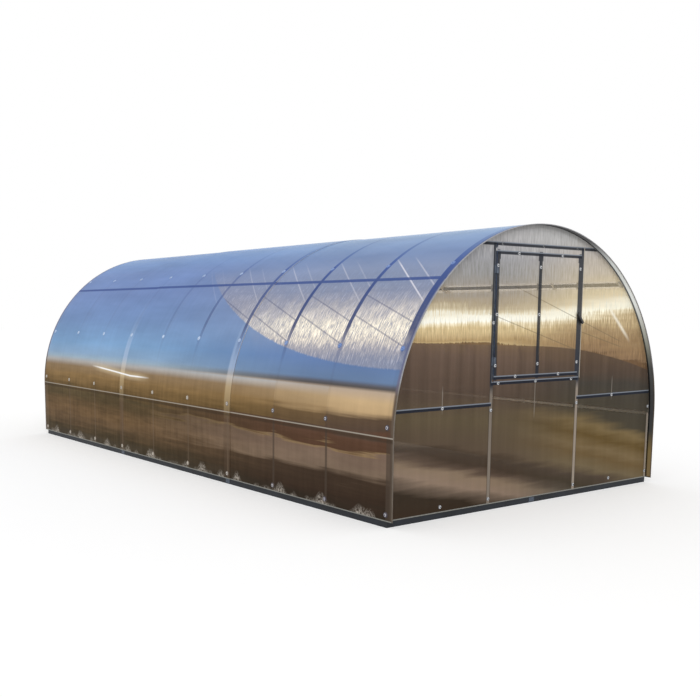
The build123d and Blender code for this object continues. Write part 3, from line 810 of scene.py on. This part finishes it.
def washer_plastic(name, front, rear):
    """Moulded polycarbonate or rubber of the washers, glossy, with the light round it painted in as a
    reflection.

    That is brown low down and the sky's blue high up, and paler towards the rear below the crown.
    Both front and rear are a low and a high colour.
    """
    material, tree = new_material(name)
    x, y, z = object_places(tree)
    near, far = [add_node(tree, "ValToRGB", {"Fac": z}, zip((0.9, 1.0), pair)) for pair in (front, rear)]
    under_crown = add_node(tree, "MapRange", {"Value": z, "From Min": 1.3, "From Max": 1.9,
                                              "To Min": 1.0, "To Max": 0.45})
    rearward = add_node(tree, "MapRange", {"Value": y, "From Min": -1.9, "From Max": -0.6,
                                           "To Max": under_crown})
    colour = add_node(tree, "Mix", {0: rearward, 6: near, 7: far}, data_type="RGBA")
    haze = stretched_noise(tree, (x, y, z), (0.01, 0.01, 0.01), 2.0, 0.5)
    colour = toned(tree, colour, haze, 0.85, 1.10)
    finish_solid(tree, {"Base Color": colour, "Roughness": 0.3, "IOR": 1.58, "Specular IOR Level": 0.2})
    return material


def edge_tape(name, stops):
    """Aluminium tape folded over the cut ends of the sheets: pale, with small creases."""
    material, tree = new_material(name)
    x, y, z = object_places(tree)
    creases = stretched_noise(tree, (x, y, z), (0.012, 0.012, 0.05), 3.0, 0.6)
    colour = add_node(tree, "ValToRGB", {"Fac": z}, stops)
    colour = toned(tree, colour, creases, 0.80, 1.15)
    bump = add_node(tree, "Bump", {"Strength": 0.3, "Distance": 0.0005, "Height": creases})
    finish_solid(tree, {"Base Color": colour, "Normal": bump, "Roughness": 0.4, "Metallic": 0.3})
    return material


def finish_cad_nodes():
    """Give every piece of the frame and every sheet its one material."""
    cover_middle = cover_polycarbonate("bronze_cover_middle", cover_outer_high - sheet_thickness / 2)
    cover = cover_polycarbonate("bronze_cover", cover_outer_low - sheet_thickness / 2)
    gable = gable_polycarbonate(
        "bronze_gable", half_length + sheet_thickness / 2, post_bars,
        [top_rail_bar, side_rail_bar, window_rail_bar], half_width,
    )
    stile_x = leaf_high.x - bar_half
    leaf_sheet_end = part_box("window_sheet")[1].x - cut_edge_inset
    window = gable_polycarbonate(
        "bronze_window", gable_face + sheet_thickness / 2,
        post_bars + leaf_stiles(leaf_low.z, (0.0, stile_x)),
        [top_rail_bar, window_rail_bar, *leaf_rails(leaf_low.z, [])], leaf_sheet_end,
    )
    door = gable_polycarbonate(
        "bronze_door", gable_face + sheet_thickness / 2,
        post_bars + leaf_stiles(door_low, (stile_x,)),
        [top_rail_bar, *leaf_rails(door_low, [window_rail_z])], leaf_sheet_end,
    )
    arch = arch_steel("arch_tube", ARCH_SIDES)
    purlin = arch_steel("purlin_tube", PURLIN_SIDES)
    tube = galvanised_steel("galvanised_tube", "#3E444E", "#6A717C", 0.45)
    sill = galvanised_steel("painted_sill", "#101318", "#20262E", 0.55)
    plate = galvanised_steel("zinc_plate", "#3A4250", "#5A6472", 0.4)
    latch = latch_nylon("black_nylon")
    # A node takes the finish of the first of these words that its name holds
    finishes = (
        ("cover_sheet_middle", cover_middle), ("cover_sheet", cover), ("window_sheet", window),
        ("door_sheet", door), ("_sheet_", gable), ("base_sill", sill), ("plates", plate),
        ("hinges", plate), ("latch", latch), ("arch_", arch), ("purlin", purlin), ("", tube),
    )
    for name, piece in nodes.items():
        piece.data.materials.clear()
        piece.data.materials.append(next(finish for word, finish in finishes if word in name))


def add_object(name, shape, materials):
    """Put a finished bmesh into the scene."""
    mesh = bpy.data.meshes.new(name)
    shape.to_mesh(mesh)
    shape.free()
    for material in materials:
        mesh.materials.append(material)
    made = bpy.data.objects.new(name, mesh)
    bpy.context.scene.collection.objects.link(made)
    return made


def make_piece(name, shape, materials):
    """Turn a finished bmesh into a piece that rides with the house."""
    piece = add_object(name, shape, materials)
    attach(piece, "root")


# Fixing screws with sealing washers, as (radius, rim) of a washer, then heights, radius and tapers
cover_washer = (0.020, 0.005)
gable_washer = (0.0145, 0.002)
washer_height = 0.004
washer_taper = 0.82
screw_radius = 0.0055
screw_height = 0.004
screw_taper = 0.9


def screw_shape(washer_radius, washer_rim):
    """A washer with a dark rim and a hexagon screw head on it, standing on the plane z = 0."""
    shape = bmesh.new()
    lift = Matrix.Translation((0, 0, washer_height / 2))
    bmesh.ops.create_cone(shape, cap_ends=True, segments=20, radius1=washer_radius,
                          radius2=washer_radius * washer_taper, depth=washer_height, matrix=lift)
    top = max(shape.faces, key=lambda face: face.calc_center_median().z)
    bmesh.ops.inset_region(shape, faces=[top], thickness=washer_rim)
    top.material_index = 1
    head = Matrix.Translation((0, 0, washer_height + screw_height / 2))
    made = bmesh.ops.create_cone(shape, cap_ends=True, segments=6, radius1=screw_radius,
                                 radius2=screw_radius * screw_taper, depth=screw_height, matrix=head)
    for face in {face for vert in made["verts"] for face in vert.link_faces}:
        face.material_index = 2
    mesh = bpy.data.meshes.new("screw_pattern")
    shape.to_mesh(mesh)
    shape.free()
    return mesh


def screws(name, places, materials, washer):
    """One joined piece with a screw at each (point, outward direction)."""
    pattern = screw_shape(*washer)
    shape = bmesh.new()
    for point, outward in places:
        known = len(shape.verts)
        shape.from_mesh(pattern)
        turn = Vector(outward).to_track_quat("Z", "Y").to_matrix().to_4x4()
        shape.verts.ensure_lookup_table()
        bmesh.ops.transform(shape, matrix=Matrix.Translation(point) @ turn, verts=shape.verts[known:])
    bpy.data.meshes.remove(pattern)
    make_piece(name, shape, materials)


low_screw_z = 0.09
middle_screw_z = 0.685
bend_screw_angles = (24.0, 52.5)


def cover_screw_places(side):
    """Screws that hold the covers to each arch on one side."""
    places = []
    for row in arch_rows:
        in_middle = lap_rows[0] <= row <= lap_rows[1]
        radius = cover_outer_high if in_middle else cover_outer_low
        places.append(((side * radius, row, low_screw_z), (side, 0, 0)))
        low_turn = math.degrees(math.asin((middle_screw_z - spring_height) / radius))
        for turn in (low_turn, *bend_screw_angles):
            way = (side * math.cos(math.radians(turn)), 0, math.sin(math.radians(turn)))
            point = (way[0] * radius, row, spring_height + way[2] * radius)
            places.append((point, way))
    return places


# Screws of the gables, by how far they are from the middle and how high
corner_x = half_width - 0.016
fixed_screws = [
    (-post_x, 0.085), (post_x, 0.085), (-post_x, 0.745), (post_x, 0.745), (-post_x, 1.38),
    (-1.0, 0.085), (0.97, 0.09), (-1.0, side_rail_z), (0.96, side_rail_z),
    (-0.43, top_rail_z), (0.03, top_rail_z), (0.43, top_rail_z),
    (-corner_x, 0.10), (corner_x, 0.10), (-corner_x, 0.66), (corner_x, 0.66),
]
window_rail_screws = [(-0.43, window_rail_z), (-0.01, window_rail_z), (0.42, window_rail_z)]
window_stile_levels = (1.07, 1.44, 1.79)
door_stile_levels = (0.18, 0.60, *window_stile_levels)
# On a leaf's bars, a pair at each level
bar_pair = (-0.25, 0.25)
leaf_top_level = leaf_high.z - 0.012
window_bar_levels = (leaf_low.z + 0.015, leaf_top_level)
door_bar_levels = (door_low + 0.012, window_rail_z, leaf_top_level)


def gable_screw_places(side, seats):
    """Screws that stand out of one gable, from (depth, x and height seen from outside) of each."""
    return [((-side * x, side * depth, z), (0, side, 0)) for depth, (x, z) in seats]


def build_screws():
    """All the screws, joined by region."""
    zinc = galvanised_steel("screw_zinc", "#2A2D33", "#4A4E55", 0.35)
    # On the covers, washers and heads carry painted reflections of field and sky, low and high, front and
    # rear
    on_covers = (
        washer_plastic("washer_rim_on_covers", ("#46424C", "#607CB4"), ("#9A9084", "#A8BEDC")),
        washer_plastic("washer_on_covers", ("#C4C2C8", "#7F98CA"), ("#DCD4C8", "#D0DEEE")),
        washer_plastic("screw_head_on_covers", ("#5A5866", "#6C86BC"), ("#9C9488", "#A8BCD8")),
    )
    rim, face = [(colour, colour) for colour in ("#7A7C80", "#E8EAEC")]
    on_gables = (
        washer_plastic("washer_rim_on_gables", rim, rim),
        washer_plastic("washer_on_gables", face, face),
        zinc,
    )
    for name, side in (("left", -1), ("right", 1)):
        screws(f"cover_screws_{name}", cover_screw_places(side), on_covers, cover_washer)
    stile_x = leaf_high.x - bar_half
    window = [(x, z) for x in (-stile_x, 0.0, stile_x) for z in window_stile_levels]
    window += [(x, z) for x in bar_pair for z in window_bar_levels]
    door = [(x, z) for x in (-stile_x, stile_x) for z in door_stile_levels]
    door += [(x, z) for x in bar_pair for z in door_bar_levels]
    front = [(gable_face, seat) for seat in fixed_screws + window_rail_screws]
    rear = [(gable_face, seat) for seat in fixed_screws]
    front += [(leaf_face, seat) for seat in window]
    rear += [(leaf_face, seat) for seat in door]
    screws("front_gable_screws", gable_screw_places(-1, front), on_gables, gable_washer)
    screws("rear_gable_screws", gable_screw_places(1, rear), on_gables, gable_washer)


# Plugs of the side sills: how far the tube's wall keeps them in, how deep they go and how far back
plug_inset = 0.0021
plug_deep = 0.008
plug_back = 0.0005

# Grip of the window's latch, turned about its middle, and how far it goes into the latch
grip_wide = 0.024
grip_long = 0.105
grip_deep = 0.010
grip_turn = -40.0
grip_round = 0.003
grip_seat = 0.001

# Tape folded over the cut edges of the sheets
tape_wide = 0.007
tape_skin = 0.0006
tape_steps = 120
foot_taped = ("front_sheet_left", "front_sheet_lower", "front_sheet_right",
              "rear_sheet_left", "door_sheet", "rear_sheet_right")


def box_between(shape, low, high):
    """Add a box between two corners."""
    size = Vector(high) - Vector(low)
    place = Matrix.Translation((Vector(high) + Vector(low)) / 2) @ Matrix.Diagonal((*size, 1.0))
    bmesh.ops.create_cube(shape, size=1.0, matrix=place)


def arch_tape(shape, low, high, inner, outer):
    """Tape between two places along the house, up one leg, over the bend and down the other leg."""
    corners = [(inner, low), (outer, low), (outer, high), (inner, high)]
    bend = [(math.pi * step / tape_steps, spring_height) for step in range(tape_steps + 1)]
    rings = [
        [shape.verts.new((radius * math.cos(turn), y, z + radius * math.sin(turn))) for radius, y in corners]
        for turn, z in [(0.0, sheet_bottom), *bend, (math.pi, sheet_bottom)]
    ]
    for ring, following in zip(rings, rings[1:]):
        for i in range(4):
            shape.faces.new((ring[i - 1], ring[i], following[i], following[i - 1]))
    shape.faces.new(rings[0])
    shape.faces.new(rings[-1])
    bmesh.ops.recalc_face_normals(shape, faces=shape.faces[:])


def build_tape():
    """Tape on the ends and the feet of the covers and on the feet of the gable sheets."""
    # On the ends, the tape's colour by height is a painted reflection: brown low down and paler above
    ends = (edge_tape("edge_tape_on_ends", [(0.3, "#63584C"), (0.9, "#6E655A"), (1.0, "#98989C")]),)
    feet = (edge_tape("edge_tape_on_feet", [(0.0, "#84847E"), (1.0, "#84847E")]),)
    inner, outer = cover_inner_low - tape_skin, cover_outer_low + tape_skin
    for name, side in (("front", -1), ("rear", 1)):
        end = max(abs(corner.y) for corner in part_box(f"cover_sheet_{name}")) + tape_skin
        low, high = sorted((side * end, side * (end - tape_wide)))
        shape = bmesh.new()
        arch_tape(shape, low, high, inner, outer)
        make_piece(f"arch_tape_{name}", shape, ends)
    foot = (sheet_bottom - tape_skin, sheet_bottom + tape_wide)
    shape = bmesh.new()
    for name in ("cover_sheet_front", "cover_sheet_middle", "cover_sheet_rear"):
        low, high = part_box(name)
        for side in (-1, 1):
            reach = sorted((side * (high.x - sheet_thickness), side * (high.x + tape_skin)))
            box_between(shape, (reach[0], low.y, foot[0]), (reach[1], high.y, foot[1]))
    make_piece("cover_foot_tape", shape, feet)
    shape = bmesh.new()
    for name in foot_taped:
        low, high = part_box(name)
        side = math.copysign(1, low.y)
        reach = sorted((low.y, high.y), key=abs)
        deep = sorted((reach[0], reach[1] + side * tape_skin))
        box_between(shape, (low.x, deep[0], low.z - tape_skin), (high.x, deep[1], low.z + tape_wide))
    make_piece("gable_foot_tape", shape, feet)


def build_sill_plugs():
    """Plugs in the open ends of the side sills."""
    shape = bmesh.new()
    for name in ("left", "right"):
        low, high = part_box(f"base_sill_{name}")
        for end, inward in ((low.y, 1), (high.y, -1)):
            reach = sorted((end + inward * plug_back, end + inward * plug_deep))
            box_between(shape, (low.x + plug_inset, reach[0], low.z + plug_inset),
                        (high.x - plug_inset, reach[1], high.z - plug_inset))
    make_piece("sill_plugs", shape, nodes["base_sill_left"].data.materials[:])


def build_latch_grip():
    """The turned grip on the window's latch."""
    latch = middle("window_latch")
    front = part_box("window_latch")[0].y
    shape = bmesh.new()
    turn = Matrix.Rotation(math.radians(grip_turn), 4, "Y")
    size = Matrix.Diagonal((grip_wide, grip_deep, grip_long, 1.0))
    place = Matrix.Translation((latch.x, front - grip_deep / 2 + grip_seat, latch.z))
    bmesh.ops.create_cube(shape, size=1.0, matrix=place @ turn @ size)
    bmesh.ops.bevel(shape, geom=shape.edges[:], offset=grip_round, segments=2, affect="EDGES")
    make_piece("latch_grip", shape, nodes["window_latch"].data.materials[:])


# The floor's half width, what the floor and the surround show and give, and the lamp
floor_half = 60.0
floor_grey = 0.80
backdrop_grey = 0.82
backdrop_glow = 0.23
surround_light = 0.75
lamp_strength = 1.2
lamp_spread = 40.0
lamp_from = Vector((-0.6, -0.8, 0.7))
white = (1, 1, 1, 1)


def seen_directly(tree):
    """Whether a ray comes from the camera, straight or by way of a mirror or glass."""
    ray = add_node(tree, "LightPath").outputs
    seen = add_node(tree, "Math", {0: ray["Is Camera Ray"], 1: ray["Is Glossy Ray"]}, operation="MAXIMUM")
    return add_node(tree, "Math", {0: seen, 1: ray["Is Transmission Ray"]}, operation="MAXIMUM")


def studio():
    """A pale floor, a white surround and one large soft lamp."""
    world = bpy.data.worlds.new("studio")
    bpy.context.scene.world = world
    world.use_nodes = True
    tree = world.node_tree
    tree.nodes.clear()
    strength = add_node(tree, "MapRange", {"Value": seen_directly(tree), "To Min": surround_light})
    surround = add_node(tree, "Background", {"Color": white, "Strength": strength})
    add_node(tree, "OutputWorld", {"Surface": surround})

    material, tree = new_material("studio_floor")
    lit = add_node(tree, "BsdfDiffuse", {"Color": linear(floor_grey)})
    shade = add_node(tree, "BsdfDiffuse", {"Color": linear(backdrop_grey)})
    glow = add_node(tree, "Emission", {"Color": white, "Strength": backdrop_glow})
    backdrop = add_node(tree, "AddShader", {0: shade, 1: glow})
    both = add_node(tree, "MixShader", {0: seen_directly(tree), 1: lit, 2: backdrop})
    add_node(tree, "OutputMaterial", {"Surface": both})
    shape = bmesh.new()
    bmesh.ops.create_grid(shape, x_segments=1, y_segments=1, size=floor_half)
    floor = add_object("studio_floor", shape, (material,))

    lamp = bpy.data.lights.new("soft_lamp", "SUN")
    lamp.energy = lamp_strength
    lamp.angle = math.radians(lamp_spread)
    lamp_object = bpy.data.objects.new("soft_lamp", lamp)
    lamp_object.rotation_euler = lamp_from.to_track_quat("Z", "Y").to_euler()
    bpy.context.scene.collection.objects.link(lamp_object)


# The photograph's frame and the camera fitted to it
frame_wide = 700
frame_tall = 697
focal_pixels = 927.446
centre_column = 289.398
centre_row = 433.384
eye = Vector((-5.675, -7.578, 1.460))
yaw = math.radians(-36.228)
pitch = math.radians(-7.518)
roll = math.radians(0.189)


def camera():
    """The camera at the photograph's viewing angle."""
    lens = bpy.data.cameras.new("camera")
    lens.sensor_width = 36.0
    lens.lens = focal_pixels * lens.sensor_width / frame_wide
    lens.shift_x = (frame_wide / 2 - centre_column) / frame_wide
    lens.shift_y = (centre_row - frame_tall / 2) / frame_wide
    lens.clip_end = 200
    forward = Vector((-math.sin(yaw) * math.cos(pitch), math.cos(yaw) * math.cos(pitch), math.sin(pitch)))
    level_right = forward.cross(Vector((0, 0, 1))).normalized()
    level_up = level_right.cross(forward)
    right = level_right * math.cos(roll) + level_up * math.sin(roll)
    up = level_up * math.cos(roll) - level_right * math.sin(roll)
    viewer = bpy.data.objects.new("camera", lens)
    viewer.matrix_world = Matrix((
        (right.x, up.x, -forward.x, eye.x),
        (right.y, up.y, -forward.y, eye.y),
        (right.z, up.z, -forward.z, eye.z),
        (0, 0, 0, 1),
    ))
    bpy.context.scene.collection.objects.link(viewer)
    bpy.context.scene.camera = viewer


camera()
studio()
finish_cad_nodes()
build_screws()
build_tape()
build_sill_plugs()
build_latch_grip()
bpy.context.scene.view_settings.view_transform = "Standard"
